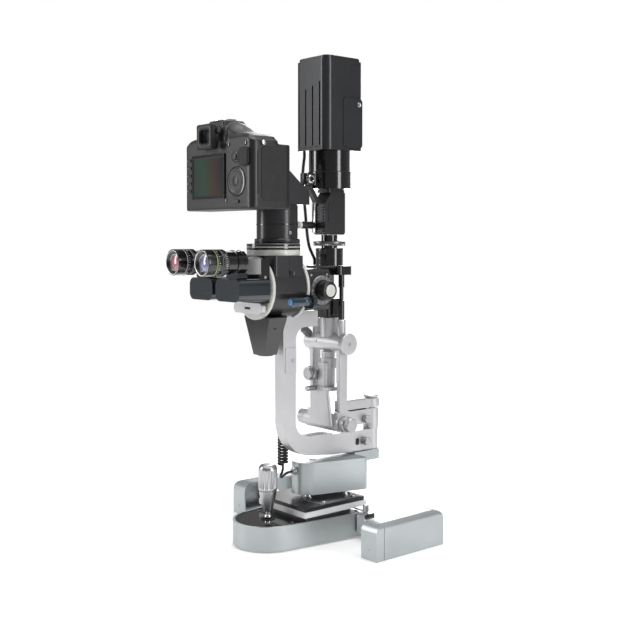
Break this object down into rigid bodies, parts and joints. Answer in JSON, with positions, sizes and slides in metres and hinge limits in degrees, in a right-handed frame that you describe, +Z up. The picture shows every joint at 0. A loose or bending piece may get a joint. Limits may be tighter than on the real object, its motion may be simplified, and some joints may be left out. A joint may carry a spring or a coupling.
{
  "type": "slit lamp",
  "caption": "Slit lamp on a joystick base: stereo microscope with a camera port and body on one arm, tilting illumination tower on another, both on one pivot",
  "frame": {"origin": "middle of the footprint on the table top", "axes": "+Z up, +Y towards the patient, +X to the examiner's right"},
  "size_m": [0.304, 0.32, 0.641],
  "materials": {
    "silver_paint": "satin silver paint",
    "arm_paint": "pale satin silver paint",
    "bright_metal": "polished",
    "turned_metal": "satin turned",
    "rail_steel": "ground",
    "black_plate": "glossy black",
    "pad_black": "matt black",
    "white_plate": "glossy white",
    "black_enamel": "gloss black enamel",
    "dark_casting": "satin dark grey",
    "ring_white": "satin white",
    "prism_blue_grey": "gloss blue grey",
    "knob_black": "moulded black",
    "blue_cap": "blue",
    "camera_shell": "fine textured black",
    "screen_glass": "coated glass",
    "cable_rubber": "smooth black",
    "lamp_paint": "satin anthracite"
  },
  "bodies": {
    "stand": {"rails": "rail_steel", "rail_cover_left": "silver_paint", "rail_cover_right": "silver_paint"},
    "carriage": {"axle_sleeve": "turned_metal"},
    "axle_shaft": {"axle": "bright_metal"},
    "base": {"base_shell": "silver_paint", "base_top_plate": "black_plate", "bearing_blocks": "rail_steel", "clamp_block": "bright_metal", "slide_tray": "white_plate", "tray_pad": "pad_black", "guide_posts": "bright_metal"},
    "lock": {"lock_screw": "turned_metal"},
    "stick_ball": {"joystick_ball": "bright_metal"},
    "stick_shaft": {"joystick_shaft": "turned_metal"},
    "stick_grip": {"joystick_grip": "turned_metal"},
    "column": {"column_housing": "silver_paint", "housing_lid": "silver_paint", "pivot_bracket": "silver_paint", "pivot_shaft": "bright_metal"},
    "scope": {"microscope_arm": "arm_paint", "arm_cover_plate": "arm_paint", "coil_cable": "cable_rubber", "cable_tail": "cable_rubber", "microscope_body": "dark_casting", "body_rings": "ring_white", "lower_housing": "black_enamel", "changer_housing": "dark_casting", "binocular_head": "black_enamel", "port_ring": "ring_white", "adapter_tube": "dark_casting", "camera_body": "camera_shell", "camera_screen": "screen_glass"},
    "arm_clamp": {"arm_clamp_screw": "turned_metal"},
    "changer": {"changer_knob": "knob_black"},
    "splitter": {"splitter_lever": "blue_cap"},
    "prism_left": {"prism_box_left": "prism_blue_grey"},
    "prism_right": {"prism_box_right": "prism_blue_grey"},
    "ocular_left": {"eyepiece_left": "black_enamel"},
    "ocular_right": {"eyepiece_right": "black_enamel"},
    "dial": {"quick_dial": "knob_black"},
    "mode": {"mode_dial": "knob_black"},
    "shutter": {"shutter_button": "knob_black"},
    "lamp_arm": {"illumination_arm": "arm_paint"},
    "lamp_arm_clamp": {"illum_clamp_screw": "turned_metal"},
    "tower": {"slit_barrel": "arm_paint", "centre_column": "arm_paint", "upper_barrel": "arm_paint", "mirror_head": "black_enamel", "tower_plate": "black_enamel", "filter_box": "dark_casting", "lamp_flange": "black_enamel", "lamp_housing": "lamp_paint", "lamp_door": "lamp_paint", "lamp_lead": "cable_rubber"},
    "slit": {"slit_knobs": "turned_metal"},
    "latch": {"tilt_latch": "turned_metal"},
    "decentring": {"decentring_knob": "turned_metal"},
    "diaphragm": {"diaphragm_ring": "turned_metal"},
    "rotation": {"rotation_handle": "knob_black"}
  },
  "joints": [
    {"name": "depth_slide", "type": "slide", "parent": "stand", "child": "carriage", "axis": [0, 1, 0], "range_m": [-0.04, 0.04]},
    {"name": "axle_spin", "type": "hinge", "parent": "carriage", "child": "axle_shaft", "pos_m": [0, 0.074, 0.02], "axis": [1, 0, 0], "range_deg": [-192.6, 192.6]},
    {"name": "lateral_slide", "type": "slide", "parent": "carriage", "child": "base", "axis": [1, 0, 0], "range_m": [-0.04, 0.04]},
    {"name": "lock_turn", "type": "hinge", "parent": "base", "child": "lock", "pos_m": [0.0697, 0.074, 0.035], "axis": [0, 0, 1], "range_deg": [-90, 0]},
    {"name": "stick_fore_aft", "type": "hinge", "parent": "base", "child": "stick_ball", "pos_m": [0, -0.036, 0.0345], "axis": [1, 0, 0], "range_deg": [-10, 10]},
    {"name": "stick_sideways", "type": "hinge", "parent": "stick_ball", "child": "stick_shaft", "pos_m": [0, -0.036, 0.0345], "axis": [0, 1, 0], "range_deg": [-10, 10]},
    {"name": "stick_twist", "type": "hinge", "parent": "stick_shaft", "child": "stick_grip", "pos_m": [0, -0.036, 0.0696], "axis": [0, 0, 1], "range_deg": [-90, 450]},
    {"name": "height_slide", "type": "slide", "parent": "base", "child": "column", "axis": [0, 0, 1], "range_m": [-0.005, 0.025]},
    {"name": "scope_swivel", "type": "hinge", "parent": "column", "child": "scope", "pos_m": [0, 0.148, 0.1], "axis": [0, 0, 1], "range_deg": [-60, 60]},
    {"name": "arm_clamp_turn", "type": "hinge", "parent": "scope", "child": "arm_clamp", "pos_m": [0.0135, 0.126, 0.1152], "axis": [1, 0, 0], "range_deg": [-90, 0]},
    {"name": "changer_turn", "type": "hinge", "parent": "scope", "child": "changer", "pos_m": [0.046, 0.026, 0.331], "axis": [1, 0, 0], "continuous": true},
    {"name": "splitter_turn", "type": "hinge", "parent": "scope", "child": "splitter", "pos_m": [0.048, -0.02, 0.318], "axis": [0, 1, 0], "range_deg": [0, 90]},
    {"name": "pupil_left", "type": "hinge", "parent": "scope", "child": "prism_left", "pos_m": [-0.014, -0.096, 0.335], "axis": [0, 1, 0], "range_deg": [-4, 4]},
    {"name": "pupil_right", "type": "hinge", "parent": "scope", "child": "prism_right", "pos_m": [0.014, -0.096, 0.335], "axis": [0, 1, 0], "range_deg": [-4, 4]},
    {"name": "dioptre_left", "type": "hinge", "parent": "prism_left", "child": "ocular_left", "pos_m": [-0.033, -0.138, 0.369], "axis": [0, 1, 0], "range_deg": [-120, 120]},
    {"name": "dioptre_right", "type": "hinge", "parent": "prism_right", "child": "ocular_right", "pos_m": [0.033, -0.138, 0.369], "axis": [0, 1, 0], "range_deg": [-120, 120]},
    {"name": "quick_dial_turn", "type": "hinge", "parent": "scope", "child": "dial", "pos_m": [0.042, -0.115, 0.468], "axis": [0, 1, 0], "continuous": true},
    {"name": "mode_dial_turn", "type": "hinge", "parent": "scope", "child": "mode", "pos_m": [-0.05, -0.095, 0.528], "axis": [0, 0, 1], "continuous": true},
    {"name": "shutter_press", "type": "slide", "parent": "scope", "child": "shutter", "axis": [0, 0, -1], "range_m": [0, 0.0015], "stiffness_N_per_m": 300},
    {"name": "lamp_arm_swivel", "type": "hinge", "parent": "column", "child": "lamp_arm", "pos_m": [0, 0.148, 0.15], "axis": [0, 0, 1], "range_deg": [-60, 60]},
    {"name": "lamp_arm_clamp_turn", "type": "hinge", "parent": "lamp_arm", "child": "lamp_arm_clamp", "pos_m": [0.0135, 0.128, 0.146], "axis": [1, 0, 0], "range_deg": [-90, 0]},
    {"name": "tower_tilt", "type": "hinge", "parent": "lamp_arm", "child": "tower", "pos_m": [0, 0.07, 0.148], "axis": [-1, 0, 0], "range_deg": [0, 20]},
    {"name": "slit_width_turn", "type": "hinge", "parent": "tower", "child": "slit", "pos_m": [0, 0.07, 0.148], "axis": [1, 0, 0], "range_deg": [0, 180]},
    {"name": "latch_turn", "type": "hinge", "parent": "tower", "child": "latch", "pos_m": [-0.011, 0.052, 0.1945], "axis": [0, 1, 0], "range_deg": [0, 45]},
    {"name": "decentring_turn", "type": "hinge", "parent": "tower", "child": "decentring", "pos_m": [-0.016, 0.05, 0.214], "axis": [0, 1, 0], "range_deg": [0, 180]},
    {"name": "diaphragm_turn", "type": "hinge", "parent": "tower", "child": "diaphragm", "pos_m": [0, 0.07, 0.392], "axis": [0, 0, 1], "continuous": true},
    {"name": "rotation_turn", "type": "hinge", "parent": "tower", "child": "rotation", "pos_m": [-0.0072, 0.04, 0.417], "axis": [0, 1, 0], "range_deg": [-90, 90]}
  ],
  "couplings": [
    {"joint": "axle_spin", "follows": "depth_slide", "rad_per_m": -84.03},
    {"joint": "stick_twist", "follows": "height_slide", "rad_per_m": 314.16},
    {"joint": "pupil_right", "follows": "pupil_left", "ratio": -1}
  ]
}
